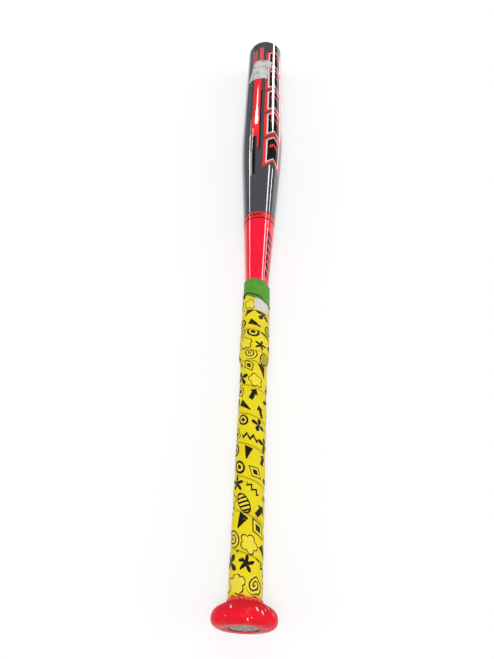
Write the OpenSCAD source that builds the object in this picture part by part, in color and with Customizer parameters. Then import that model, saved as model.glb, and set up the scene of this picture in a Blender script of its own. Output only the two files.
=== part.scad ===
// Two-piece bat with a wound grip, lying on its knob and barrel along Y, knob towards -Y.
// Millimetres, +Z up. A station is a distance along the bat's axis from the face of the knob.

/* [Body] */
// Length from the face of the knob to the rim of the barrel
bat_length = 863.6; // [830:0.2:880]
// Diameter of the barrel
barrel_d = 57.15; // [55:0.05:60]
// Diameter of the handle under the grip
handle_d = 22.2; // [21.6:0.1:22.8]
// Station where the lines of the handle and the taper meet
taper_from = 301; // [300:1:305]
// Station where the lines of the taper and the barrel meet
taper_to = 579; // [570:1:600]
// Length of the rounded bend on each side of those two stations
bend = 48; // [40:1:50]
// Wall of the barrel
barrel_wall = 2.6; // [2.2:0.1:3]
// Loss of barrel radius between the gripped stretch and the rim
rim_draft = 0.2; // [0.1:0.05:0.4]
// Length of the true cylinder behind the bend of the barrel
cylinder_length = 98; // [80:1:105]

/* [Barrel end] */
// Radius of the rolled rim
rim_round = 3.2; // [2.6:0.1:3.6]
// Depth of the rolled rim
rim_depth = 4.4; // [3.8:0.1:5]
// Radius of the mouth that holds the cap
mouth_r = 23.4; // [22.5:0.1:24]
// Depth of the dish in the cap
cap_dish = 2.6; // [1.5:0.1:3]

/* [Joint] */
// Station of the lower edge of the joint ring
joint_from = 423; // [415:1:430]
// Width of the joint ring
joint_width = 11.5; // [8:0.5:14]
// Length of the handle's spigot inside the barrel
spigot_length = 66; // [50:1:72]
// Wall of the handle below the taper
handle_wall = 2.4; // [2:0.1:2.8]

/* [Knob] */
// Diameter of the knob
knob_d = 49.6; // [47:0.2:51]
// Radius of the knob's flat face
knob_face_r = 16.8; // [15.5:0.1:19]
// Depth of the rounding from the face to the widest line of the knob
knob_lower_round = 5.5; // [4.5:0.1:6]
// Rounding above the widest line of the knob
knob_upper_round = 7.4; // [6.8:0.1:7.6]
// Slope of the knob's shoulder
shoulder_slope = 28; // [24:1:30]
// Radius of the collar that the grip stops at
collar_r = 13.7; // [13.3:0.1:14.2]
// Station of the collar's upper edge
collar_top = 18.6; // [18.2:0.1:18.8]

/* [Grip] */
// Thickness of the grip strip
strip_t = 1.85; // [1.8:0.05:2.1]
// Rise of each plain turn
plain_pitch = 29.1; // [28.8:0.1:29.3]
// Rise of the crowded turn that starts the thick part
crowded_pitch = 11; // [10.5:0.5:12]
// Rise of each turn in the thick part
thick_pitch = 25; // [24.8:0.1:25.2]
// Height that the thick part adds
build_up = 2.2; // [1.8:0.1:2.4]

/* [Bands and labels] */
// Width of the finishing tape
finish_width = 23; // [20:0.5:24]
// Thickness of the finishing tape
finish_t = 0.35; // [0.3:0.01:0.4]
// Length of the price label along the bat
price_length = 57; // [40:1:60]
// Width of the price label across the barrel
price_width = 29.5; // [20:0.5:32]
// Slant of the price label
price_slant = -7; // [-12:1:12]

/* [Hidden] */
$fn = 96;
barrel_r = barrel_d / 2;
handle_r = handle_d / 2;
knob_r = knob_d / 2;

// Bond line between glued pieces, and play around a piece laid on another
bond = 0.15;
play = 0.05;

// Rest on the floor: the widest line of the knob and the start of the cylinder both touch it
cylinder_from = taper_to + bend;
knob_flat = 1;
knob_touch = knob_lower_round + knob_flat / 2;
rest_tilt = atan((barrel_r - knob_r) / (cylinder_from - knob_touch));
rest_height = knob_r * cos(rest_tilt) - knob_touch * sin(rest_tilt);

// Outer outline of the body
taper_slope = (barrel_r - handle_r) / (taper_to - taper_from);
draft_from = cylinder_from + cylinder_length;
rim_station = bat_length - rim_round;
bend_steps = 12;

function bend_rise(run) = taper_slope * run * run / (4 * bend);

function body_r(s) =
    s < taper_from - bend ? handle_r :
    s < taper_from + bend ? handle_r + bend_rise(s - taper_from + bend) :
    s < taper_to - bend ? handle_r + taper_slope * (s - taper_from) :
    s < cylinder_from ? barrel_r - bend_rise(cylinder_from - s) :
    s < draft_from ? barrel_r :
    barrel_r - rim_draft * (s - draft_from) / (rim_station - draft_from);

function bend_stations(middle) =
    [for (i = [0:bend_steps]) middle + bend * (2 * i / bend_steps - 1)];

function oval_arc(centre, reach, first, last, steps) =
    [for (i = [0:steps]) let (a = first + (last - first) * i / steps)
        centre + [reach[0] * cos(a), reach[1] * sin(a)]];

function arc(centre, radius, first, last, steps) = oval_arc(centre, [radius, radius], first, last, steps);

function reversed(points) = [for (i = [len(points) - 1:-1:0]) points[i]];

// Joint of handle and barrel
joint_to = joint_from + joint_width;
spigot_to = joint_to + spigot_length;
spigot_wall = 2.2;
joint_gap = 0.3;
joint_chamfer = 0.5;

function spigot_r(s) = body_r(s) - barrel_wall - bond;

// End cap: a dished face on a skirt, held behind the rim by a bead
cap_face = bat_length - 0.8;
cap_skirt_r = mouth_r - bond;
cap_bead_r = mouth_r + 1.4;
cap_bead_width = 1.5;
cap_skirt_length = 7;
cap_wall = 3;
cap_edge = 2.2;

// Knob and the plug in its bore; the plug's disc covers the handle's butt and its stub fills the bore
knob_bore_r = handle_r + bond;
knob_bore_chamfer = 0.8;
small_chamfer = 0.4;
collar_fillet = 2;
butt = 2;
plug_sink = 0.6;
plug_stub = 14;
plug_wall = 1.4;

// Finishing tape: wound nearly over itself on the top of the grip, its ends at the back
finish_from_angle = -108;
finish_turns = 1.6;
finish_steps = 48;
finish_low = taper_from + 2.5;
finish_tilt = 5;
finish_drift = 1.5;
finish_seat = handle_r + 2.1;
finish_gap = 0.42;
finish_rise = finish_t + finish_gap;
echo("gap of the finishing tape to itself, mm", finish_gap);

function finish_edge(angle, turn) = finish_low - finish_tilt * sin(angle) + finish_drift * turn;

// Winding of the grip: turn 0 is the first full turn above the collar
collar_gap = 0.3;
strip_from = collar_top + collar_gap;
plain_turns = 7;
first_turn = -0.9;
last_turn = 10.5;
steps_per_turn = 26;
strip_steps = round((last_turn - first_turn) * steps_per_turn);
edge_t = 0.5;
edge_round = 0.3;
crown = 0.15;
longest_ramp = 6;
tuck_share = 0.4;
groove = 0.55;
groove_drop = 0.2;
clearance = 0.65;
first_lap = 0.15;
ramp_from = 6.35;
ramp_to = 6.75;
fade_from = 8;
fade_rate = 0.18;

// Thin upper edge of the last turn, as [distance past the full height, height], under the finishing tape
finish_margin = 2.5;
thin_edge = [[1.5, 0.9], [5.5, 0.5]];

function clamped(x, low, high) = min(max(x, low), high);

// The strip climbs to the left
function strip_angle(turn) = -360 * turn;

// Station of the strip's lower edge
function seam(turn) =
    strip_from + plain_pitch * min(turn, plain_turns)
    + crowded_pitch * clamped(turn - plain_turns, 0, 1)
    + thick_pitch * max(turn - plain_turns - 1, 0);

function lower_edge(turn) = max(seam(turn), strip_from);

// Station where the strip's full height ends: at the next turn or under the finishing tape
function next_edge(turn) = seam(turn + 1) - groove;

function last_edge(turn) = finish_edge(strip_angle(turn), 0) - finish_margin;

function full_width(turn) = min(next_edge(turn), last_edge(turn)) - lower_edge(turn);

// Height of the strip's outer face above the handle
function strip_height(turn) =
    strip_t + build_up * clamped((turn - ramp_from) / (ramp_to - ramp_from), 0, 1)
    * (1 - fade_rate * max(turn - fade_from, 0));

// Height of the strip's inner face where its lower edge lies on the turn below
function ramp_width(turn) = min(longest_ramp, full_width(turn) / 2);

function lap_height(turn, share) =
    (strip_height(turn) - edge_t) * clamped(1 + turn / first_lap, 0, 1) * (1 - share);

// Upper edge of the strip: tucked under the next turn, or thin under the finishing tape
function upper_columns(turn) =
    let (above = turn + 1)
    next_edge(turn) < last_edge(turn) ? [
        [next_edge(turn) + groove_drop, 0, min(strip_height(turn), lap_height(above, 0) - clearance)],
        [seam(above) + tuck_share * ramp_width(above), 0, lap_height(above, tuck_share) - clearance]
    ] : [for (step = thin_edge) [last_edge(turn) + step[0], 0, step[1]]];

// Section of the strip: [station, inner height, outer height] from its lower to its upper edge
function strip_section(turn) =
    let (low = lower_edge(turn), top = strip_height(turn), ramp = ramp_width(turn))
    concat([
        [low, lap_height(turn, 0), top - edge_round],
        [low + ramp / 6, lap_height(turn, 1 / 6), top],
        [low + ramp, 0, top + crown],
        [low + full_width(turn), 0, top]
    ], upper_columns(turn));

// Angle 0 is straight up, positive to the right
function around(radius, angle, s) = [radius * sin(angle), -radius * cos(angle), s];

function strip_column(turn, column, side) = let (c = strip_section(turn)[column])
    around(body_r(c[0]) + play + c[side], strip_angle(turn), c[0]);

function strip_turn(i) = first_turn + i / steps_per_turn;

// Least gap between a turn's upper edge and the turn laid over it
function segment_gap(p, a, b) = let (
        d = b - a,
        t = clamped((p - a) * d / (d * d), 0, 1))
    norm(p - a - t * d);

function section_line(turn, side, columns) =
    [for (c = columns) let (p = strip_section(turn)[c]) [p[0], body_r(p[0]) + p[side]]];

function turn_gap(turn) = let (
        upper = section_line(turn, 2, [3, 4, 5]),
        lower = concat(section_line(turn + 1, 2, [0]), section_line(turn + 1, 1, [0, 1, 2])))
    min([for (p = upper) for (j = [0:len(lower) - 2]) segment_gap(p, lower[j], lower[j + 1])]);

least_gap = min([for (i = [0:strip_steps - steps_per_turn]) turn_gap(strip_turn(i))]);
echo("least gap of the grip strip to itself, mm", least_gap);

function finish_point(i, across, height) = let (
        turn = finish_turns * i / finish_steps,
        angle = finish_from_angle + 360 * turn)
    around(finish_seat + finish_rise * turn + height, angle,
        finish_edge(angle, turn) + across * finish_width);

// Labels
label_t = 0.2;
price_station = 767;
price_angle = -15;
patch_from_angle = -6;
patch_to_angle = 60;
patch_steps = 12;
patch_turn = 10;
patch_edge = 1.6;

function patch_angle(i) = patch_from_angle + (patch_to_angle - patch_from_angle) * i / patch_steps;

function patch_point(i, across, height) = let (
        angle = patch_angle(i),
        turn = patch_turn - angle / 360,
        low = seam(turn) + patch_edge,
        high = last_edge(turn) - patch_edge / 4,
        s = low + (high - low) * across)
    around(body_r(s) + strip_height(turn) + crown + 2 * play + height, angle, s);

// Shared shapes

// Lay an upright piece down on the floor
module laid() {
    translate([0, -bat_length * cos(rest_tilt) / 2, rest_height])
        rotate([rest_tilt - 90, 0, 0])
            children();
}

module turned(outline) {
    rotate_extrude() polygon(outline);
}

// Closed band through rows of points; every row runs out along one face and back along the other
module band(rows) {
    n = len(rows);
    m = len(rows[0]);
    half = m / 2;
    last = (n - 1) * m;
    sides = [for (i = [0:n - 2]) for (j = [0:m - 1]) let (
            a = i * m + j,
            b = i * m + (j + 1) % m)
        each [[a, b, b + m], [a, b + m, a + m]]];
    ends = [for (j = [0:half - 2]) let (k = m - 1 - j)
        each [[j, k - 1, j + 1], [j, k, k - 1],
            [last + j, last + j + 1, last + k - 1], [last + j, last + k - 1, last + k]]];
    polyhedron([for (row = rows) each row], concat(sides, ends));
}

// Sub-parts

module barrel() {
    outer = concat([joint_to + joint_chamfer], bend_stations(taper_to), [draft_from, rim_station]);
    inner = concat([joint_to], bend_stations(taper_to), [draft_from, bat_length - rim_depth]);
    rim_centre = [barrel_r - rim_draft - rim_round, rim_station];
    color([0.3, 0.3, 0.32])
        laid() turned(concat(
            [[body_r(joint_to) - joint_chamfer, joint_to]],
            [for (s = outer) [body_r(s), s]],
            arc(rim_centre, rim_round, 15, 90, 5),
            [[mouth_r, bat_length], [mouth_r, bat_length - rim_depth]],
            reversed([for (s = inner) [body_r(s) - barrel_wall, s]])));
}

module end_cap() {
    dish = cap_face - cap_dish;
    back = bat_length - rim_depth - bond;
    color([0.09, 0.09, 0.1])
        laid() turned([
            [0, dish], [cap_skirt_r - 2 * cap_wall, dish + 0.4 * cap_dish],
            [cap_skirt_r - cap_edge, cap_face], [cap_skirt_r - small_chamfer, cap_face],
            [cap_skirt_r, cap_face - small_chamfer], [cap_skirt_r, back],
            [cap_bead_r, back], [cap_bead_r, back - cap_bead_width],
            [cap_skirt_r, back - cap_skirt_length], [cap_skirt_r - cap_wall, back - cap_skirt_length],
            [cap_skirt_r - cap_wall, dish - cap_wall], [0, dish - cap_wall]
        ]);
}

module joint_ring() {
    low = joint_from + joint_gap;
    high = joint_to - joint_gap;
    color([0.78, 0.1, 0.12])
        laid() turned([
            [spigot_r(low) + bond, low], [body_r(low) - joint_chamfer, low],
            [body_r(low + joint_chamfer), low + joint_chamfer],
            [body_r(high - joint_chamfer), high - joint_chamfer],
            [body_r(high) - joint_chamfer, high], [spigot_r(high) + bond, high]
        ]);
}

module handle() {
    outer = concat([butt], bend_stations(taper_from), [joint_from - joint_chamfer]);
    bore_r = handle_r - handle_wall;
    thick_from = taper_from + bend;
    thick_wall = handle_wall + 0.8;
    color([0.9, 0.08, 0.16])
        laid() turned(concat(
            [for (s = outer) [body_r(s), s]],
            [[body_r(joint_from) - joint_chamfer, joint_from]],
            [for (s = [joint_from, spigot_to]) [spigot_r(s), s]],
            [for (s = [spigot_to, joint_from]) [spigot_r(s) - spigot_wall, s]],
            [[body_r(thick_from) - thick_wall, thick_from]],
            [[bore_r, taper_from - bend], [bore_r, butt]]));
}

module knob() {
    lower_centre = [knob_face_r, knob_lower_round];
    upper_centre = [knob_r - knob_upper_round, knob_lower_round + knob_flat];
    upper_arc = arc(upper_centre, knob_upper_round, 0, 90 - shoulder_slope, 8);
    shoulder = upper_arc[len(upper_arc) - 1];
    shoulder_top = shoulder[1] + (shoulder[0] - collar_r) * tan(shoulder_slope);
    collar_edge = collar_top - small_chamfer;
    fillet_rise = (1 - sin(shoulder_slope)) / cos(shoulder_slope);
    fillet = min(collar_fillet, (collar_edge - shoulder_top) / fillet_rise);
    fillet_centre = [collar_r + fillet, shoulder_top + fillet * fillet_rise];
    color([0.85, 0.08, 0.14])
        laid() turned(concat(
            [[knob_bore_r, knob_bore_chamfer], [knob_bore_r + knob_bore_chamfer, 0]],
            oval_arc(lower_centre, [knob_r - knob_face_r, knob_lower_round], -90, 0, 10),
            upper_arc,
            arc(fillet_centre, fillet, 270 - shoulder_slope, 180, 4),
            [[collar_r, collar_edge], [collar_r - small_chamfer, collar_top], [knob_bore_r, collar_top]]));
}

module knob_plug() {
    disc_r = knob_bore_r - bond;
    disc_back = butt - bond;
    stub_r = handle_r - handle_wall - bond;
    stub_floor = butt + plug_wall;
    color([0.6, 0.6, 0.57])
        laid() turned([
            [0, plug_sink], [disc_r - small_chamfer, plug_sink], [disc_r, plug_sink + small_chamfer],
            [disc_r, disc_back], [stub_r, disc_back], [stub_r, plug_stub],
            [stub_r - plug_wall, plug_stub], [stub_r - plug_wall, stub_floor], [0, stub_floor]
        ]);
}

module grip_tape() {
    rows = [for (i = [0:strip_steps]) let (turn = strip_turn(i))
        concat([for (c = [0:5]) strip_column(turn, c, 2)], [for (c = [5:-1:0]) strip_column(turn, c, 1)])];
    color([0.95, 0.87, 0.1])
        laid() band(rows);
}

module finishing_tape() {
    rows = [for (i = [0:finish_steps])
        [finish_point(i, 1, finish_t), finish_point(i, 0, finish_t),
            finish_point(i, 0, 0), finish_point(i, 1, 0)]];
    color([0.36, 0.62, 0.22])
        laid() band(rows);
}

module price_label() {
    low = price_station - price_length;
    high = price_station + price_length;
    color([0.86, 0.87, 0.86])
        laid() intersection() {
            turned([
                [body_r(low) + play, low], [body_r(low) + play + label_t, low],
                [body_r(high) + play + label_t, high], [body_r(high) + play, high]
            ]);
            rotate([0, 0, price_angle])
                translate([0, 0, price_station])
                    rotate([90, 0, 0])
                        rotate(price_slant)
                            linear_extrude(2 * barrel_r)
                                square([price_width, price_length], center = true);
        }
}

module grip_label() {
    rows = [for (i = [0:patch_steps])
        [patch_point(i, 0, label_t), patch_point(i, 1, label_t),
            patch_point(i, 1, 0), patch_point(i, 0, 0)]];
    color([0.88, 0.87, 0.84])
        laid() band(rows);
}

barrel();
end_cap();
joint_ring();
handle();
knob();
knob_plug();
grip_tape();
finishing_tape();
price_label();
grip_label();
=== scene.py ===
"""Looks of a two-piece bat: painted barrel and handle, wound printed grip, red knob, paper labels."""

import math

import bmesh
import bpy
from mathutils import Matrix, Vector, noise


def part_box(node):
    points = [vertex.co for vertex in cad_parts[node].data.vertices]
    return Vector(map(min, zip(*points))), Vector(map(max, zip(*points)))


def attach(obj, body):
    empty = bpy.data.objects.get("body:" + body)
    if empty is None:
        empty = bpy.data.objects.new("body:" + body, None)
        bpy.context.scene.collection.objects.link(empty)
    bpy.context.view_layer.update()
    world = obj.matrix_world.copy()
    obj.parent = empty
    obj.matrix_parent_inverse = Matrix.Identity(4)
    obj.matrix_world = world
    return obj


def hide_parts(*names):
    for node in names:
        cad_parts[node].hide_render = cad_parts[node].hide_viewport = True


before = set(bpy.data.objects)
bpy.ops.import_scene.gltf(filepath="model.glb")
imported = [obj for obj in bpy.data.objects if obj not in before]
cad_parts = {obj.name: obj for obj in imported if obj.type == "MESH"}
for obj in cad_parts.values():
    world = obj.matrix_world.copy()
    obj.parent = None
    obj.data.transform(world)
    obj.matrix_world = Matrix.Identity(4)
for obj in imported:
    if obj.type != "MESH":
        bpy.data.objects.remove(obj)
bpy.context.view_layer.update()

MM = 0.001
TURN = 2 * math.pi

# Photograph frame and the camera that fits it, in millimetres along, above and beside the bat's axis
IMAGE_HEIGHT_PX = 659
PRINCIPAL_ROW_PX = 280
FOCAL_PX = 551.5
SENSOR_MM = 36
CAMERA_STATION = -75.3
CAMERA_ABOVE = 466.2
CAMERA_RIGHT = 5.3
CAMERA_PITCH = math.radians(48.43)
CAMERA_YAW = math.radians(-2.31)

# Body outline, as stations along the axis from the face of the knob, in millimetres
TAPER_FROM = 301
BEND = 48
TAPER_TO = 579

# Knob, and winding of the grip from its collar, in millimetres and turns
KNOB_FACE_R = 16.8
COLLAR_TOP = 18.6
GRIP_LOW = COLLAR_TOP + 0.3
FIRST_TURN = -0.9
LAST_TURN = 10.5
START_RAMP = 0.15
PLAIN_PITCH = 29.1
PLAIN_TURNS = 7
CROWDED_PITCH = 11
THICK_PITCH = 25

# Section of the grip strip: its laps, and the padding that lifts its last turns
STRIP_T = 1.85
PLAY = 0.05
LAP_RAMP = 6
LAP_GAP = 0.5
LAP_PLAY = 0.6
LAP_TUCK = 2.6
LIP_ROUND = 0.6
CROWN = 0.22
BUILD_UP = 1.8
PAD_FROM = 221.5
PAD_RAMP = 9
PAD_FULL_TO = 253
PAD_FADE = 83

# Finishing tape, in millimetres and degrees: its layers, its lower and upper edge, and its crease
FINISH_T = 0.4
FINISH_SEAT = 2.1
FINISH_RISE = 0.62
FINISH_FROM_ANGLE = -108
FINISH_TURNS = 1.6
FINISH_GAP = 1
FINISH_LOW = TAPER_FROM + 3.9
LOW_TILT = 5
LOW_PULL = 1.6
LOW_HANG = 3.6
FINISH_HIGH = FINISH_LOW + 23.2
HIGH_TILT = 4
HIGH_PULL = 3
CREASE_RISE = 3.2
LIP_LIFT = 0.8
EDGE_ROUND = 0.2

# Labels, in millimetres and degrees
PRICE_LENGTH = 57
PRICE_WIDTH = 31
PRICE_STATION = 767
PRICE_ANGLE = -15
PRICE_SLANT = -9
PRICE_T = 0.18
PATCH_TURN = 10
PATCH_FROM_ANGLE = -6
PATCH_TO_ANGLE = 62
PATCH_LIFT = 0.42
PATCH_T = 0.15


def centre(box):
    """Middle of a CAD node's box."""
    low, high = (Vector(corner) for corner in box)
    return (low + high) / 2


# The bat's axis runs through the centres of its turned nodes
ring_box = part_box("joint_ring")
knob_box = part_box("knob")
barrel_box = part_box("barrel")
ring_centre = centre(ring_box)
AXIS = (centre(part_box("end_cap")) - ring_centre).normalized()
RIGHT = Vector((1, 0, 0))
UP = RIGHT.cross(AXIS)
FACE_Y = knob_box[0][1] + KNOB_FACE_R * MM * AXIS.z
FOOT = ring_centre - AXIS * (ring_centre.y - FACE_Y) / AXIS.y
BARREL_R = (barrel_box[1][0] - barrel_box[0][0]) / 2 / MM
HANDLE_R = (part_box("knob_plug")[1][0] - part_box("knob_plug")[0][0]) / 2 / MM
TAPER_SLOPE = (BARREL_R - HANDLE_R) / (TAPER_TO - TAPER_FROM)


def place(right, above, station):
    """Point of the row frame from millimetres beside, above and along the axis."""
    return FOOT + (RIGHT * right + UP * above + AXIS * station) * MM


def around(radius, angle, station):
    """Point at an angle in radians from straight up, positive to the right."""
    return place(radius * math.sin(angle), radius * math.cos(angle), station)


def clamp(value, low, high):
    return min(max(value, low), high)


def smooth(share):
    """0 to 1 with soft ends."""
    share = clamp(share, 0, 1)
    return share * share * (3 - 2 * share)


def station_of(y):
    """Station in millimetres of a place along the row's Y axis."""
    return (y - FOOT.y) / MM


def body_radius(station):
    """Outer radius of handle and taper at a station."""
    run = clamp(station - TAPER_FROM + BEND, 0, 2 * BEND)
    cone = max(station - TAPER_FROM - BEND, 0)
    return HANDLE_R + TAPER_SLOPE * (run * run / (4 * BEND) + cone)


# Camera

def make_camera():
    """Camera behind the knob that looks along and down on the bat."""
    ahead = (RIGHT * math.sin(CAMERA_YAW) + AXIS * math.cos(CAMERA_YAW)) * math.cos(CAMERA_PITCH)
    ahead -= UP * math.sin(CAMERA_PITCH)
    beside = RIGHT * math.cos(CAMERA_YAW) - AXIS * math.sin(CAMERA_YAW)
    above = beside.cross(ahead)
    data = bpy.data.cameras.new("camera")
    data.sensor_width = SENSOR_MM
    data.lens = FOCAL_PX / IMAGE_HEIGHT_PX * SENSOR_MM
    data.shift_y = (PRINCIPAL_ROW_PX - IMAGE_HEIGHT_PX / 2) / IMAGE_HEIGHT_PX
    data.clip_start = 0.01
    camera = bpy.data.objects.new("camera", data)
    turn = Matrix((beside, above, -ahead)).transposed().to_4x4()
    camera.matrix_world = Matrix.Translation(place(CAMERA_RIGHT, CAMERA_ABOVE, CAMERA_STATION)) @ turn
    bpy.context.collection.objects.link(camera)
    bpy.context.scene.camera = camera


make_camera()


# Formulas in materials

class Wire:
    """A number in a material's nodes. Arithmetic on wires adds math nodes."""

    def __init__(self, tree, socket):
        self.tree = tree
        self.socket = socket

    def math(self, operation, *others):
        node = self.tree.nodes.new("ShaderNodeMath")
        node.operation = operation
        for entry, value in zip(node.inputs, (self, *others)):
            plug(self.tree, entry, value)
        return Wire(self.tree, node.outputs[0])

    def __add__(self, other):
        return self.math("ADD", other)

    def __sub__(self, other):
        return self.math("SUBTRACT", other)

    def __rsub__(self, other):
        return (self * -1) + other

    def __mul__(self, other):
        return self.math("MULTIPLY", other)

    def __truediv__(self, other):
        return self.math("DIVIDE", other)

    def __abs__(self):
        return self.math("ABSOLUTE")

    def over(self, other):
        """1 where this is greater than other."""
        return self.math("GREATER_THAN", other)

    def under(self, other):
        return self.math("LESS_THAN", other)

    def within(self, low, high):
        return self.over(low) * self.under(high)

    def either(self, other):
        return self.math("MAXIMUM", other)

    def fade(self, start, end):
        """0 at start and 1 at end, with soft ends."""
        node = self.tree.nodes.new("ShaderNodeMapRange")
        node.interpolation_type = "SMOOTHSTEP"
        plug(self.tree, node.inputs["Value"], self)
        node.inputs["From Min"].default_value = start
        node.inputs["From Max"].default_value = end
        return Wire(self.tree, node.outputs["Result"])


def plug(tree, entry, value):
    """Link a wire or socket to an input, or set the input's own value."""
    if isinstance(value, Wire):
        tree.links.new(value.socket, entry)
    elif isinstance(value, bpy.types.NodeSocket):
        tree.links.new(value, entry)
    else:
        entry.default_value = value


class Paint:
    """A principled material under construction."""

    def __init__(self, name, **values):
        self.material = bpy.data.materials.new(name)
        self.material.use_nodes = True
        self.tree = self.material.node_tree
        self.shader = self.tree.nodes["Principled BSDF"]
        for socket, value in values.items():
            self.shader.inputs[socket.replace("_", " ")].default_value = value
        self.coords = self.tree.nodes.new("ShaderNodeTexCoord")

    def wire(self, socket):
        return Wire(self.tree, socket)

    def vector(self, x, y, z=0.0):
        node = self.tree.nodes.new("ShaderNodeCombineXYZ")
        for entry, value in zip(node.inputs, (x, y, z)):
            plug(self.tree, entry, value)
        return node.outputs[0]

    def part(self, vector, axis, start=Vector()):
        """Millimetres of a point along an axis from a start point."""
        offset = self.tree.nodes.new("ShaderNodeVectorMath")
        offset.operation = "SUBTRACT"
        self.tree.links.new(vector, offset.inputs[0])
        offset.inputs[1].default_value = start
        node = self.tree.nodes.new("ShaderNodeVectorMath")
        node.operation = "DOT_PRODUCT"
        self.tree.links.new(offset.outputs[0], node.inputs[0])
        node.inputs[1].default_value = axis
        return self.wire(node.outputs["Value"]) / MM

    def body_place(self):
        """Station in millimetres and angle in degrees on the bat."""
        point = self.coords.outputs["Object"]
        station = self.part(point, AXIS, FOOT)
        angle = self.part(point, RIGHT, FOOT).math("ARCTAN2", self.part(point, UP, FOOT))
        return station, angle * math.degrees(1)

    def reach(self):
        """Distance from the bat's axis in millimetres."""
        point = self.coords.outputs["Object"]
        right = self.part(point, RIGHT, FOOT)
        above = self.part(point, UP, FOOT)
        return (right * right + above * above).math("SQRT")

    def strip_place(self):
        """Place along and across a strip, as its map gives it."""
        node = self.tree.nodes.new("ShaderNodeSeparateXYZ")
        self.tree.links.new(self.coords.outputs["UV"], node.inputs[0])
        return self.wire(node.outputs[0]), self.wire(node.outputs[1])

    def noise(self, scale, detail=3.0, vector=None, roughness=0.5):
        node = self.tree.nodes.new("ShaderNodeTexNoise")
        node.inputs["Scale"].default_value = scale
        node.inputs["Detail"].default_value = detail
        node.inputs["Roughness"].default_value = roughness
        self.tree.links.new(vector or self.coords.outputs["Object"], node.inputs["Vector"])
        return self.wire(node.outputs["Fac"])

    def cells(self, x, y):
        """Distance to the nearest of many points scattered one to a unit square, and its random number."""
        node = self.tree.nodes.new("ShaderNodeTexVoronoi")
        node.voronoi_dimensions = "2D"
        node.inputs["Scale"].default_value = 1.0
        self.tree.links.new(self.vector(x, y), node.inputs["Vector"])
        split = self.tree.nodes.new("ShaderNodeSeparateColor")
        self.tree.links.new(node.outputs["Color"], split.inputs[0])
        return self.wire(node.outputs["Distance"]), self.wire(split.outputs[0])

    def chance(self, x, y):
        """Three random numbers for each pair of whole numbers."""
        node = self.tree.nodes.new("ShaderNodeTexWhiteNoise")
        node.noise_dimensions = "2D"
        self.tree.links.new(self.vector(x, y), node.inputs["Vector"])
        split = self.tree.nodes.new("ShaderNodeSeparateColor")
        self.tree.links.new(node.outputs["Color"], split.inputs[0])
        return [self.wire(socket) for socket in split.outputs]

    def blend(self, below, above, mask):
        """Colour above where the mask is 1, below where it is 0."""
        node = self.tree.nodes.new("ShaderNodeMix")
        node.data_type = "RGBA"
        plug(self.tree, node.inputs["Factor"], mask)
        plug(self.tree, node.inputs["A"], below)
        plug(self.tree, node.inputs["B"], above)
        return node.outputs["Result"]

    def colour(self, value):
        plug(self.tree, self.shader.inputs["Base Color"], value)

    def rough(self, value):
        plug(self.tree, self.shader.inputs["Roughness"], value)

    def bump(self, height, distance, strength=1.0):
        node = self.tree.nodes.new("ShaderNodeBump")
        node.inputs["Strength"].default_value = strength
        node.inputs["Distance"].default_value = distance * MM
        plug(self.tree, node.inputs["Height"], height)
        self.tree.links.new(node.outputs[0], self.shader.inputs["Normal"])


# Colours
CHARCOAL = (0.067, 0.069, 0.078, 1)
BLACK = (0.006, 0.006, 0.007, 1)
WHITE = (0.72, 0.72, 0.70, 1)
BARREL_RED = (0.92, 0.028, 0.032, 1)
TIP_RED = (0.72, 0.105, 0.105, 1)
DULL_RED = (0.50, 0.11, 0.115, 1)
SCUFF = (0.42, 0.40, 0.40, 1)
HANDLE_RED = (0.90, 0.011, 0.040, 1)
RING_RED = (0.72, 0.026, 0.026, 1)
RING_INK = (0.06, 0.006, 0.006, 1)
KNOB_RED = (0.80, 0.011, 0.026, 1)
FACE_SHADE_RED = (0.58, 0.030, 0.040, 1)
HOLLOW_LIGHT_RED = (0.95, 0.020, 0.026, 1)
RUB_AND_HIGHLIGHT_RED = (0.86, 0.16, 0.12, 1)
RECESS_SHADE_RED = (0.10, 0.010, 0.012, 1)
CHIP_AND_GLINT = (0.86, 0.66, 0.64, 1)
SILVER = (0.46, 0.43, 0.35, 1)
TARNISH = (0.045, 0.040, 0.030, 1)
CAP_BLACK = (0.016, 0.016, 0.018, 1)
CAP_GREY = (0.03, 0.03, 0.032, 1)
YELLOW = (0.79, 0.645, 0.008, 1)
PALE_YELLOW = (0.80, 0.68, 0.075, 1)
DEEP_YELLOW = (0.64, 0.48, 0.004, 1)
INK = (0.012, 0.009, 0.004, 1)
GREEN = (0.098, 0.325, 0.018, 1)
DEEP_GREEN = (0.07, 0.25, 0.03, 1)
LAP_SHADOW_GREEN = (0.012, 0.05, 0.010, 1)
PAPER = (0.58, 0.58, 0.57, 1)
FILM = (0.64, 0.63, 0.56, 1)
PRINT_INK = (0.02, 0.02, 0.025, 1)
SMUDGE = (0.36, 0.36, 0.36, 1)

# Clear coat on the paint of barrel and handle
CLEAR_COAT = {"Specular_IOR_Level": 0.0, "Coat_Weight": 1.0, "Coat_Roughness": 0.03, "Coat_IOR": 1.6}

# Stripes on the barrel: first and last arc from straight up, first and last station, in millimetres
COLUMN = (-16.2, -4.7, 584, 800)
COLUMN_TAIL = (-7.2, -4.6, 557, 600)
TIP_BAR = (-9.7, -2.8, 790, 841)
DULL_BAR = (-21.5, -13.0, 790, 837)
DARK_LINE = (-4.7, -2.6, 553, 703)
DARK_BAR = (-14.0, -9.5, 503, 582)

# Chevrons on the barrel, in millimetres; their lines fall by the slope away from the middle
CHEVRON_ARC = 18
CHEVRON_HALF = 10
CHEVRON_PITCH = 62
CHEVRON_FROM = 530
CHEVRON_COUNT = 5
CHEVRON_SLOPE = 1.1
CHEVRON_SHARE = 0.36
CHEVRON_OUTLINE = 2
CHEVRON_BORDER = 6

# Ticks between the dark lines of the joint ring, in degrees and millimetres
TICK_PITCH = 13
TICK_SLANT = 1.6
TICK_ANGLES = (-46, 8)
TICK_MARGIN = 3.2
RING_LINE = 1.0

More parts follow.
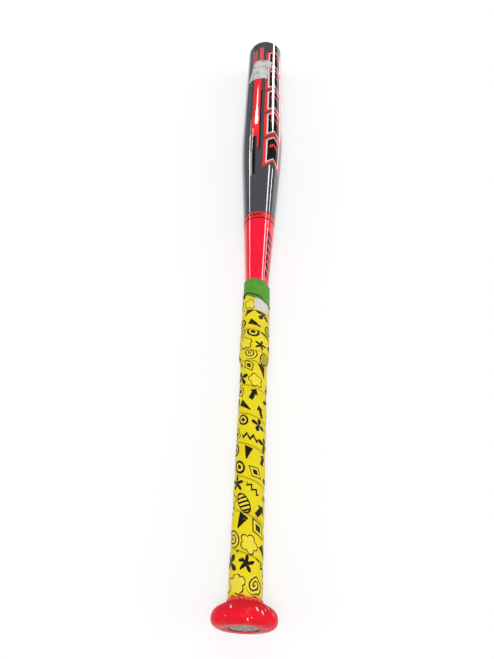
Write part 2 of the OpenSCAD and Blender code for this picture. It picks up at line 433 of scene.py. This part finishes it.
# Dashes on the handle, in millimetres, degrees and rows
DASH_PITCH = 12
DASH_SLANT = 0.25
DASH_SHARE = 0.58
DASH_ANGLES = (36, 68)
DASH_ROWS = (29, 35)

# Cells of the print on the grip and rows of the print on the labels, in millimetres
DOODLE_CELL = 14.5
PRINT_ROW = 3.4


# Materials

def scuffs(paint, station, angle):
    """Mask of faint rubbed marks that run around the bat."""
    marks = paint.noise(1, 4, paint.vector(station * 0.9, angle * 0.12))
    patches = paint.noise(22, 2).fade(0.50, 0.68)
    return marks.fade(0.58, 0.72) * patches * 0.16


def stripe(arc, station, limits):
    """Mask of a straight stripe on the barrel."""
    first_arc, last_arc, first, last = limits
    return arc.within(first_arc, last_arc) * station.within(first, last)


def barrel_paint():
    """Charcoal under clear coat, with red and black stripes and a row of outlined chevrons."""
    paint = Paint("barrel_paint", **CLEAR_COAT)
    station, angle = paint.body_place()
    arc = angle * math.radians(BARREL_R)
    red = stripe(arc, station, COLUMN).either(stripe(arc, station, COLUMN_TAIL))
    dark = stripe(arc, station, DARK_LINE).either(stripe(arc, station, DARK_BAR))

    # Each chevron is black with an inner red line, a white outline and a red border
    from_middle = abs(arc - CHEVRON_ARC)
    row = (station + from_middle * CHEVRON_SLOPE - CHEVRON_FROM) / CHEVRON_PITCH
    along = (row - row.math("FLOOR") - 0.5) * CHEVRON_PITCH
    shape = (abs(along) - CHEVRON_PITCH * CHEVRON_SHARE).either(from_middle - CHEVRON_HALF)
    shape = shape + (1 - row.within(0, CHEVRON_COUNT)) * CHEVRON_PITCH
    inner = shape.under(-3) * along.within(4, 9)

    colour = paint.blend(CHARCOAL, BLACK, dark)
    colour = paint.blend(colour, DULL_RED, stripe(arc, station, DULL_BAR))
    colour = paint.blend(colour, TIP_RED, stripe(arc, station, TIP_BAR))
    colour = paint.blend(colour, BARREL_RED, red.either(shape.under(CHEVRON_BORDER)))
    colour = paint.blend(colour, WHITE, shape.under(CHEVRON_OUTLINE))
    colour = paint.blend(colour, BLACK, shape.under(0))
    colour = paint.blend(colour, BARREL_RED, inner)
    paint.colour(paint.blend(colour, SCUFF, scuffs(paint, station, angle)))
    paint.rough(paint.noise(60, 4).fade(0.2, 0.9) * 0.12 + 0.26)
    paint.bump(paint.noise(250, 1), 0.002)
    return paint.material


def handle_paint():
    """Bright red under clear coat with slanted dark dashes on one side."""
    paint = Paint("handle_paint", **CLEAR_COAT)
    station, angle = paint.body_place()
    row = (station + angle * DASH_SLANT) / DASH_PITCH
    dash = (row - row.math("FLOOR")).under(DASH_SHARE)
    dash = dash * angle.within(*DASH_ANGLES) * row.within(*DASH_ROWS)
    colour = paint.blend(HANDLE_RED, INK, dash)
    paint.colour(paint.blend(colour, SCUFF, scuffs(paint, station, angle)))
    paint.rough(paint.noise(70, 4).fade(0.2, 0.9) * 0.10 + 0.24)
    paint.bump(paint.noise(250, 1), 0.002)
    return paint.material


def ring_rubber():
    """Duller red band with dark edges and fine tick marks."""
    paint = Paint(
        "ring_rubber", Specular_IOR_Level=0.1, Roughness=0.38, Coat_Weight=0.5, Coat_Roughness=0.08)
    station, angle = paint.body_place()
    low = station_of(ring_box[0][1])
    high = station_of(ring_box[1][1])
    from_edge = abs(station - (low + high) / 2) * -1 + (high - low) / 2
    tick = (angle + station * TICK_SLANT) / TICK_PITCH
    marks = (tick - tick.math("FLOOR")).under(0.5)
    marks = marks * angle.within(*TICK_ANGLES) * from_edge.over(TICK_MARGIN)
    colour = paint.blend(RING_RED, RING_INK, marks)
    paint.colour(paint.blend(colour, BLACK, from_edge.under(RING_LINE)))
    paint.bump(paint.noise(500, 3), 0.02)
    return paint.material


def knob_paint():
    """Red with chips of many sizes that also stand in for glints, rubbed patches that also stand in for
    soft highlights, rubbed paint and painted light at the collar and its hollow, a painted highlight along
    the edge of its face, and painted shade on the face and in the plug's recess.
    """
    paint = Paint("knob_paint", Specular_IOR_Level=0.05)
    station, angle = paint.body_place()
    # Chips in the paint, pale pink, which also stand in for small painted glints
    distance, number = paint.cells(angle * 0.11 + station * 0.06, station * 0.16 + angle * 0.04)
    chip_and_glint = (distance + paint.noise(900, 2) * 0.25 - number * number * 0.25).under(0.065) * station.over(2)
    # Rubbed paint at the collar, paler orange-red, which is also painted light and a painted reflection of
    # the yellow grip
    collar = station.fade(14.5, 18) * paint.noise(260, 4).fade(0.35, 0.6)
    hollow = abs(station - 14.2).fade(2.4, 0.8)
    # Painted highlight: a pale line where the edge of the face catches light, broken by noise
    edge = abs(paint.reach() - KNOB_FACE_R).fade(1.3, 0.3) * station.under(1)
    edge = edge * paint.noise(170, 4).fade(0.3, 0.6)
    # Rubbed patches, which also serve as painted soft highlights
    worn_and_sheen = paint.noise(120, 4).fade(0.56, 0.75) * 0.4
    # Painted shade: dark red inside the plug's recess
    recess_shade = paint.reach().under(HANDLE_R + 0.6) * station.under(6)
    # Painted shade: the knob's face is a darker red, as if lit mostly from above
    colour = paint.blend(KNOB_RED, FACE_SHADE_RED, station.under(0.1))
    # Painted light: a brighter red in the hollow under the collar lifts its shade
    colour = paint.blend(colour, HOLLOW_LIGHT_RED, hollow)
    colour = paint.blend(colour, RUB_AND_HIGHLIGHT_RED, worn_and_sheen.either(collar * 0.6).either(edge * 0.55))
    colour = paint.blend(colour, CHIP_AND_GLINT, chip_and_glint)
    paint.colour(paint.blend(colour, RECESS_SHADE_RED, recess_shade))
    paint.rough(paint.noise(90, 4).fade(0.3, 0.8) * 0.2 + hollow * 0.5 + 0.25)
    paint.bump(paint.noise(150, 3) - chip_and_glint * 0.5, 0.5, 0.4)
    return paint.material


def plug_metal():
    """Mottled silver disc."""
    paint = Paint("plug_metal", Metallic=0.75)
    blots = paint.noise(380, 6, roughness=0.7)
    paint.colour(paint.blend(SILVER, TARNISH, blots.fade(0.42, 0.57)))
    paint.rough(blots * 0.4 + 0.25)
    paint.bump(blots, 0.3, 0.6)
    return paint.material


def cap_plastic():
    """Moulded black plastic with a fine grain."""
    paint = Paint("cap_plastic")
    grain = paint.noise(1500, 3)
    paint.colour(paint.blend(CAP_BLACK, CAP_GREY, paint.noise(120, 4)))
    paint.rough(grain * 0.2 + 0.45)
    paint.bump(grain, 0.05, 0.7)
    return paint.material


def doodles(paint, along, across):
    """Masks of ink and pale fill of small drawings, one in each cell of two staggered rows on the strip."""
    row = (across / DOODLE_CELL).math("FLOOR")
    shifted = along / DOODLE_CELL + row * 0.5
    column = shifted.math("FLOOR")
    kind, spin, size = paint.chance(column, row)
    x0 = (shifted - column - 0.5) * DOODLE_CELL
    y0 = (across / DOODLE_CELL - row - 0.5) * DOODLE_CELL
    turn = (spin - 0.5) * 2.4
    scale = size * 0.3 + 0.95
    x = (x0 * turn.math("COSINE") + y0 * turn.math("SINE")) / scale
    y = (y0 * turn.math("COSINE") - x0 * turn.math("SINE")) / scale
    reach = (x * x + y * y).math("SQRT")
    bearing = y.math("ARCTAN2", x)

    target = abs(reach - 4.6).under(1.0).either(reach.under(2.0))
    star = (reach - (bearing * 5).math("COSINE") * 1.9).under(3.7)
    zigzag = abs(y - (x / 4).math("PINGPONG", 0.6) * 6 + 1.8).under(1.2) * abs(x).under(6)
    gem = abs(x) * 1.25 + abs(y)
    diamond = abs(gem - 6.0).under(0.7).either(gem.under(3.0))
    coil = reach / 2.6 - bearing / TURN
    spiral = abs(coil - coil.math("FLOOR") - 0.5).under(0.20) * reach.under(6)
    wedge = (abs(x) - y * 0.28).under(2.1) * abs(y).under(5.6)
    petals = (reach - abs((bearing * 2).math("COSINE")) * 6.4).under(0)
    oval = x * x / 40 + y * y / 18
    striped = abs(oval - 1).under(0.2).either((x * 2.4).math("SINE").over(0.1) * oval.under(1))
    lobes = reach - abs((bearing * 2.5).math("COSINE")) * 1.8 - 4.2
    blossom = abs(lobes).under(0.4)
    arrow = (abs(x) - (5.5 - y) * 0.8).under(0) * y.over(1).either(abs(x).under(1.6) * y.within(-5.5, 1.2))
    bare = kind * 0
    drawings = (
        (target, reach.under(4.6)), (star, bare), (zigzag, bare), (diamond, gem.under(6)),
        (spiral, reach.under(6)), (wedge, bare), (petals, bare), (striped, oval.under(1)),
        (blossom, lobes.under(0)), (arrow, bare))

    ink = bare
    fill = bare
    for number, (drawing, inside) in enumerate(drawings):
        chosen = kind.within(number / len(drawings), (number + 1) / len(drawings))
        ink = ink.either(chosen * drawing)
        fill = fill.either(chosen * inside)
    return ink, fill


def grip_rubber():
    """Yellow strip with black drawings, darker in blotches and with painted shade along the laps."""
    paint = Paint("grip_rubber", Specular_IOR_Level=0.18)
    along, across = paint.strip_place()
    # Darker in random blotches, and painted shade along the strip's lower edge at each lap
    tone_and_lap_shade = paint.noise(55, 4).fade(0.35, 0.75) * 0.35
    tone_and_lap_shade = tone_and_lap_shade.either(across.fade(2.6, 0.0) * 0.8)
    ink, fill = doodles(paint, along, across)
    wear = paint.noise(700, 2).under(0.70)
    colour = paint.blend(YELLOW, DEEP_YELLOW, tone_and_lap_shade)
    colour = paint.blend(colour, PALE_YELLOW, fill * 0.5)
    paint.colour(paint.blend(colour, INK, ink * wear))
    paint.rough(paint.noise(220, 3) * 0.25 + 0.28)
    paint.bump(paint.noise(1300, 2) * 0.5 + paint.noise(160, 3), 0.12, 0.5)
    return paint.material


def finish_rubber():
    """Matte green with soft blotches and a fine grain, with a painted shadow in the lap under the outer
    layer.
    """
    paint = Paint("finish_rubber", Specular_IOR_Level=0.25)
    turn, across = paint.strip_place()
    # Painted shadow: dark green along the outer layer's lower edge, where its lifted lip shades the lap
    lap = across.fade(1.6, 0.5) * turn.fade(0.95, 1.02)
    colour = paint.blend(GREEN, DEEP_GREEN, paint.noise(110, 4).fade(0.4, 0.75))
    paint.colour(paint.blend(colour, LAP_SHADOW_GREEN, lap))
    paint.rough(paint.noise(500, 2) * 0.2 + 0.5)
    paint.bump(paint.noise(1100, 3), 0.06, 0.6)
    return paint.material


def label_paper(name, colour, smudge):
    """Off-white paper with broken rows of grey print along the bat."""
    paint = Paint(name, Roughness=0.5)
    station, angle = paint.body_place()
    row = angle * math.radians(BARREL_R) / PRINT_ROW
    line = row.math("FLOOR")
    dashes = paint.noise(1, 2, paint.vector(station * 0.35, line * 7.3)).over(0.50)
    print_mask = (row - line).under(0.6) * dashes * paint.noise(75, 2).fade(0.43, 0.49)
    colour = paint.blend(colour, PRINT_INK, print_mask * smudge)
    paint.colour(paint.blend(colour, SMUDGE, paint.noise(160, 4).fade(0.5, 0.8) * smudge))
    paint.bump(paint.noise(1500, 4), 0.03, 0.5)
    return paint.material


# Pieces

def add_piece(name, mesh, material, nodes):
    """New piece that stands for CAD nodes, which it hides, with the given material."""
    piece = bpy.data.objects.new(name, mesh)
    bpy.context.collection.objects.link(piece)
    mesh.materials.append(material)
    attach(piece, "root")
    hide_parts(*nodes)
    return piece


def band_mesh(name, rows, maps=None):
    """Closed band through rows of points; a row runs out along the outer face and back along the inner."""
    mesh = bpy.data.meshes.new(name)
    count = len(rows)
    width = len(rows[0])
    half = width // 2
    faces = []

    # Skin between neighbouring rows
    for i in range(count - 1):
        for j in range(width):
            k = (j + 1) % width
            faces.append((i * width + j, (i + 1) * width + j, (i + 1) * width + k, i * width + k))

    # Both ends of the band
    last = (count - 1) * width
    for j in range(half - 1):
        k = width - 1 - j
        faces.append((j, j + 1, k - 1, k))
        faces.append((last + j, last + k, last + k - 1, last + j + 1))

    mesh.from_pydata([point for row in rows for point in row], [], faces)
    if maps:
        layer = mesh.uv_layers.new(name="strip")
        flat = [spot for row in maps for spot in row]
        for loop in mesh.loops:
            layer.data[loop.index].uv = flat[loop.vertex_index]
    fix = bmesh.new()
    fix.from_mesh(mesh)
    bmesh.ops.recalc_face_normals(fix, faces=fix.faces)
    fix.to_mesh(mesh)
    fix.free()
    mesh.shade_smooth()
    return mesh


def wobble(turn, seed, size):
    """Small unevenness of hand winding."""
    return noise.noise(Vector((turn * 3.1, seed, 0))) * size


def seam(turn):
    """Station of the winding's seam, where a turn starts on the turn below."""
    plain = PLAIN_PITCH * min(turn, PLAIN_TURNS)
    crowded = CROWDED_PITCH * clamp(turn - PLAIN_TURNS, 0, 1)
    thick = THICK_PITCH * max(turn - PLAIN_TURNS - 1, 0)
    return GRIP_LOW + plain + crowded + thick + wobble(turn, 1.0, 0.8)


def strip_height(station):
    """Height of the strip's outer face above the handle; padding under the last turns lifts it."""
    rise = smooth((station - PAD_FROM) / PAD_RAMP)
    fade = 1 - max(station - PAD_FULL_TO, 0) / PAD_FADE
    return STRIP_T + BUILD_UP * rise * fade


def pulled(angle):
    """0 to 1 on the upper right side, where the finishing tape is pulled down."""
    return smooth((math.sin(angle) - 0.35) / 0.5) * max(math.cos(angle), 0)


def finish_edge(angle):
    """Station of the finishing tape's lower edge at an angle in radians; it hangs lower on top."""
    side = math.sin(angle)
    hang = smooth((side + 0.9) / 0.7) * smooth((math.cos(angle) + 0.4) / 0.4)
    return FINISH_LOW - LOW_TILT * side - LOW_PULL * pulled(angle) - LOW_HANG * hang


def finish_top(angle):
    """Station of the finishing tape's upper edge."""
    return FINISH_HIGH - HIGH_TILT * math.sin(angle) - HIGH_PULL * pulled(angle)


def lower_edge(turn):
    """Station of the strip's lower edge; the first turn stays on the collar until its start is covered."""
    held = 1 - clamp((turn - 0.12) / START_RAMP, 0, 1)
    free = seam(turn) - held * PLAIN_PITCH * max(turn, 0)
    return max(free, GRIP_LOW) + held * max(wobble(turn * 5, 5.0, 2.4), -0.2)


def lap_columns(low, ramp, started):
    """Lower part of the strip's section, raised on the turn below, with a rounded lip."""
    columns = []
    for share in (0, 0.02, 0.06, 0.12, 0.25, 0.5, 1):
        station = low + ramp * share
        top = strip_height(station)
        drop = min(LIP_ROUND, top / 5) * (1 - min(share / 0.35, 1)) ** 2
        columns.append((station, (top - LAP_GAP) * started * (1 - share), top - drop))
    return columns


def face_columns(start, end):
    """Middle of the strip's section, which dips a little before the next turn."""
    columns = []
    for share in (0.2, 0.4, 0.6, 0.8, 0.93, 1):
        station = start + (end - start) * share
        dip = 1.25 * max(share - 0.8, 0)
        columns.append((station, 0, strip_height(station) - dip))
    return columns


def tucked_columns(edge, covered):
    """Upper edge of the strip's section, thinned under the next turn or under the finishing tape."""
    if not covered:
        return [(edge + 0.8, 0, 0.9), (edge + 4, 0, 0.5)]
    above = strip_height(edge) - LAP_GAP
    return [(edge + 0.15, 0, above - LAP_PLAY), (edge + LAP_TUCK, 0, max(above * 0.6 - LAP_PLAY, 0.2))]


def strip_section(turn):
    """Station, inner height, outer height and width so far, from the strip's lower to its upper edge."""
    low = lower_edge(turn)
    next_edge = seam(turn + 1) - LAP_GAP
    last_edge = finish_edge(-TURN * turn) - FINISH_GAP
    high = min(next_edge, last_edge)
    ramp = min(LAP_RAMP, (high - low) / 2)
    started = clamp(1 + turn / START_RAMP, 0, 1)
    columns = lap_columns(low, ramp, started)
    columns += face_columns(low + ramp, high)
    columns += tucked_columns(high, next_edge < last_edge)
    bulge = wobble(turn, 9.0, 0.12)
    points = []
    for station, inner, outer in columns:
        crown = CROWN * math.sin(math.pi * clamp((station - low) / (high - low), 0, 1))
        full = outer + crown + bulge if outer > 1 else outer
        points.append((station, inner, max(full, inner + 0.2), station - low))
    return points


def make_grip():
    """The wound strip, with its map in millimetres along and across."""
    steps = 90
    rows = []
    maps = []
    for i in range(int((LAST_TURN - FIRST_TURN) * steps) + 1):
        turn = FIRST_TURN + i / steps
        angle = -TURN * turn
        along = TURN * (HANDLE_R + STRIP_T) * turn
        section = strip_section(turn)
        outer = [around(body_radius(s) + PLAY + height, angle, s) for s, _, height, _ in section]
        inner = [around(body_radius(s) + PLAY + height, angle, s) for s, height, _, _ in section]
        rows.append(outer + inner[::-1])
        across = [(along, width) for _, _, _, width in section]
        maps.append(across + across[::-1])
    mesh = band_mesh("grip_wrap", rows, maps)
    return add_piece("grip_wrap", mesh, grip_rubber(), ["grip_tape"])


def crease(angle):
    """How far the outer layer's lower edge rides above the inner one's, growing from left to top."""
    degrees = math.degrees(angle)
    return CREASE_RISE * smooth((degrees + 75) / 55) * (1 - smooth((degrees - 22) / 10))


def make_finishing_tape():
    """Green tape wound over itself, its outer layer creased over the inner one."""
    steps = 220
    shares = (0, 0.01, 0.03, 0.07, 0.15, 0.3, 0.5, 0.7, 0.85, 0.95, 0.985, 1)
    rows = []
    maps = []
    for i in range(steps + 1):
        turn = FINISH_TURNS * i / steps
        angle = math.radians(FINISH_FROM_ANGLE) + TURN * turn
        outer_layer = clamp((turn - 0.9) / 0.1, 0, 1)
        low = finish_edge(angle) + wobble(turn, 20.0, 0.4)
        low += outer_layer * (crease(angle - TURN) - 0.4)
        high = finish_top(angle) + wobble(turn, 30.0, 1.0)
        base = HANDLE_R + FINISH_SEAT + FINISH_RISE * turn + wobble(turn, 40.0, 0.12)
        outer = []
        inner = []
        for share in shares:
            station = low + (high - low) * share
            lift = LIP_LIFT * outer_layer * (1 - min(share / 0.15, 1)) ** 2
            edge = EDGE_ROUND * (1 - min(share, 1 - share, 0.03) / 0.03)
            outer.append(around(base + lift + FINISH_T - edge, angle, station))
            inner.append(around(base + lift, angle, station))
        rows.append(outer + inner[::-1])
        across = [(turn, (high - low) * share) for share in shares]
        maps.append(across + across[::-1])
    mesh = band_mesh("finishing_wrap", rows, maps)
    return add_piece("finishing_wrap", mesh, finish_rubber(), ["finishing_tape"])


def make_price_label():
    """Slanted and slightly crumpled paper label on the barrel."""
    slant = math.radians(PRICE_SLANT)
    steps = 28
    rows = []
    for i in range(steps + 1):
        across = PRICE_WIDTH * (i / steps - 0.5)
        outer = []
        inner = []
        for j in range(steps + 1):
            along = PRICE_LENGTH * (j / steps - 0.5)
            station = PRICE_STATION + along * math.cos(slant) + across * math.sin(slant)
            arc = across * math.cos(slant) - along * math.sin(slant)
            crumple = 0.25 * noise.noise(Vector((across * 0.12, along * 0.08, 3.0))) + 0.15
            radius = BARREL_R + max(crumple, 0.03)
            spread = 1.03 - 0.1 * along / PRICE_LENGTH
            angle = math.radians(PRICE_ANGLE) + arc * spread / BARREL_R
            outer.append(around(radius + PRICE_T, angle, station))
            inner.append(around(radius, angle, station))
        rows.append(outer + inner[::-1])
    mesh = band_mesh("price_tag", rows)
    paper = label_paper("label_paper", PAPER, 0.8)
    return add_piece("price_tag", mesh, paper, ["price_label"])


def make_grip_label():
    """Off-white patch on the last turn of the grip."""
    first = math.radians(PATCH_FROM_ANGLE)
    last = math.radians(PATCH_TO_ANGLE)
    steps_around = 30
    steps_along = 8
    rows = []
    for i in range(steps_around + 1):
        angle = first + (last - first) * i / steps_around
        low = seam(PATCH_TURN - angle / TURN) + LAP_GAP
        high = finish_edge(angle) - 1.1 * FINISH_GAP
        outer = []
        inner = []
        for j in range(steps_along + 1):
            station = low + (high - low) * j / steps_along
            radius = body_radius(station) + strip_height(station) + PATCH_LIFT
            outer.append(around(radius + PATCH_T, angle, station))
            inner.append(around(radius, angle, station))
        rows.append(outer + inner[::-1])
    mesh = band_mesh("grip_patch", rows)
    paper = label_paper("patch_paper", FILM, 0.15)
    return add_piece("grip_patch", mesh, paper, ["grip_label"])


def dress_node(node, material):
    """New material on a CAD node that keeps its shape."""
    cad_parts[node].data.materials[0] = material


dress_node("barrel", barrel_paint())
dress_node("handle", handle_paint())
dress_node("joint_ring", ring_rubber())
dress_node("knob", knob_paint())
dress_node("knob_plug", plug_metal())
dress_node("end_cap", cap_plastic())
make_grip()
make_finishing_tape()
make_price_label()
make_grip_label()


# Stage and light; lengths in metres
FLOOR_REACH = 6.0
FLOOR_GREY = (0.42, 0.42, 0.42, 1)
FLOOR_PALE = (0.44, 0.44, 0.44, 1)
FLOOR_GLOW = 0.54
FLAG_GREY = (0.38, 0.38, 0.41, 1)
FLAG_PALE = (0.42, 0.42, 0.45, 1)
FLAG_RISE = math.tan(math.radians(12))
PANEL_DISTANCE = 1.3
WORLD_BEHIND = 0.58
WORLD_AHEAD = 0.08


def make_floor():
    """Pale floor with a glow, seen directly and in gloss only, that keeps the bat's shadow light."""
    mesh = bpy.data.meshes.new("floor")
    corners = [(x * FLOOR_REACH, y * FLOOR_REACH, 0) for x, y in ((-1, -1), (1, -1), (1, 1), (-1, 1))]
    mesh.from_pydata(corners, [], [(0, 1, 2, 3)])
    floor = bpy.data.objects.new("floor", mesh)
    bpy.context.collection.objects.link(floor)
    paint = Paint("floor", Roughness=0.9, Specular_IOR_Level=0.1)
    path = paint.tree.nodes.new("ShaderNodeLightPath")
    seen = paint.wire(path.outputs["Is Camera Ray"])
    for ray in ("Is Glossy Ray", "Is Transmission Ray"):
        seen = seen.either(path.outputs[ray])
    glow = seen * FLOOR_GLOW
    paint.colour(paint.blend(FLOOR_GREY, FLOOR_PALE, paint.noise(3, 2)))
    paint.shader.inputs["Emission Color"].default_value = (1, 1, 1, 1)
    plug(paint.tree, paint.shader.inputs["Emission Strength"], glow)
    mesh.materials.append(paint.material)


def make_lamp(name, middle, outward, width, length, brightness, shape="RECTANGLE"):
    """Lamp along the bat that shows in gloss only; it faces against outward."""
    data = bpy.data.lights.new(name, "AREA")
    data.shape = shape
    data.size = width
    data.size_y = length
    data.energy = brightness * math.pi * width * length
    light = bpy.data.objects.new(name, data)
    turn = Matrix((AXIS.cross(outward), AXIS, outward)).transposed().to_4x4()
    light.matrix_world = Matrix.Translation(middle) @ turn
    light.visible_diffuse = False
    bpy.context.collection.objects.link(light)


def make_panel(name, degrees, first, last, width, brightness, shape="RECTANGLE"):
    """Lamp at an angle from straight up, between two stations in millimetres."""
    angle = math.radians(degrees)
    outward = RIGHT * math.sin(angle) + UP * math.cos(angle)
    middle = FOOT + AXIS * (first + last) / 2 * MM + outward * PANEL_DISTANCE
    make_lamp(name, middle, outward, width, (last - first) * MM, brightness, shape)


def make_card(name, first, last, near, far, brightness):
    """Bright card on the floor at the right, between two stations and two distances in millimetres."""
    middle = place((near + far) / 2, 0, (first + last) / 2)
    middle.z = MM
    make_lamp(name, middle, -UP, (far - near) * MM, (last - first) * MM, brightness)


def make_flag(name, first, last, near_first, near_last):
    """Low grey card along the left of the bat, up to the left streaks, that shows in gloss only."""
    low = []
    high = []
    for station, near in ((first, near_first), (last, near_last)):
        corner = place(-near, 0, station)
        low.append((corner.x, corner.y, 0))
        high.append((corner.x, corner.y, corner.z + near * MM * FLAG_RISE))
    mesh = bpy.data.meshes.new(name)
    mesh.from_pydata(low + high, [], [(0, 1, 3, 2)])
    paint = Paint(name, Roughness=1.0, Specular_IOR_Level=0.0)
    paint.colour(paint.blend(FLAG_GREY, FLAG_PALE, paint.noise(40)))
    mesh.materials.append(paint.material)
    flag = bpy.data.objects.new(name, mesh)
    flag.visible_camera = False
    flag.visible_diffuse = False
    flag.visible_shadow = False
    bpy.context.collection.objects.link(flag)


def make_sun(name, azimuth, elevation, strength, spread, gloss=True):
    """Broad soft light from far away; azimuth 0 is behind the camera and 90 is at the right."""
    data = bpy.data.lights.new(name, "SUN")
    data.energy = strength
    data.angle = math.radians(spread)
    light = bpy.data.objects.new(name, data)
    turn = math.radians(azimuth)
    rise = math.radians(elevation)
    source = Vector((math.sin(turn) * math.cos(rise), -math.cos(turn) * math.cos(rise), math.sin(rise)))
    light.rotation_euler = source.to_track_quat("Z", "Y").to_euler()
    light.visible_glossy = gloss
    bpy.context.collection.objects.link(light)


def make_world():
    """Even surroundings, brighter overhead and behind the camera than ahead of it, and white to look at."""
    world = bpy.data.worlds.new("world")
    world.use_nodes = True
    tree = world.node_tree
    coords = tree.nodes.new("ShaderNodeTexCoord")
    split = tree.nodes.new("ShaderNodeSeparateXYZ")
    tree.links.new(coords.outputs["Generated"], split.inputs[0])
    behind = Wire(tree, split.outputs["Y"]).fade(0.45, -0.2)
    path = tree.nodes.new("ShaderNodeLightPath")
    level = behind * (WORLD_BEHIND - WORLD_AHEAD) + WORLD_AHEAD
    for ray in ("Is Camera Ray", "Is Transmission Ray"):
        level = level.either(path.outputs[ray])
    back = tree.nodes["Background"]
    back.inputs["Color"].default_value = (1, 1, 1, 1)
    tree.links.new(level.socket, back.inputs["Strength"])
    bpy.context.scene.world = world


make_floor()

# Flag: first and last station, and its distance from the axis at each
make_flag("left_flag", 300, 1200, 140, 46)

# Streaks: degrees from straight up, first and last station, width in metres, brightness
make_panel("barrel_streak", 60, 2380, 3660, 0.34, 9.5, shape="ELLIPSE")
make_panel("taper_streak", 48.5, 1150, 1870, 0.16, 13)
make_panel("taper_second_streak", 71, 1150, 1890, 0.04, 30)
make_panel("left_streak", -73, 1150, 2350, 0.08, 14)
make_panel("left_faint_streak", -74, 2350, 2650, 0.05, 5)
make_panel("left_second_streak", -57.5, 2070, 2430, 0.06, 10)
make_panel("left_soft_streak", -64.5, 1840, 2070, 0.30, 3.6)
make_panel("column_glint", -39, 2510, 2790, 0.46, 9.5, shape="ELLIPSE")
make_panel("column_tail", -39, 2640, 3000, 0.14, 9, shape="ELLIPSE")
make_panel("grip_sheen", 57, 250, 1000, 0.30, 2)

# Pale edge at the right of the barrel: first and last station, nearest and farthest place, brightness
make_card("barrel_card", 680, 1010, 40, 130, 0.72)

# Suns: azimuth, elevation, strength, spread
make_sun("key", 0, 72, 1.3, 30)
make_sun("left_fill", -90, 20, 0.9, 50, gloss=False)
make_sun("right_fill", 90, 20, 1.1, 50, gloss=False)
make_sun("far_fill", 180, 45, 0.6, 60, gloss=False)
make_world()

bpy.context.scene.view_settings.view_transform = "Standard"
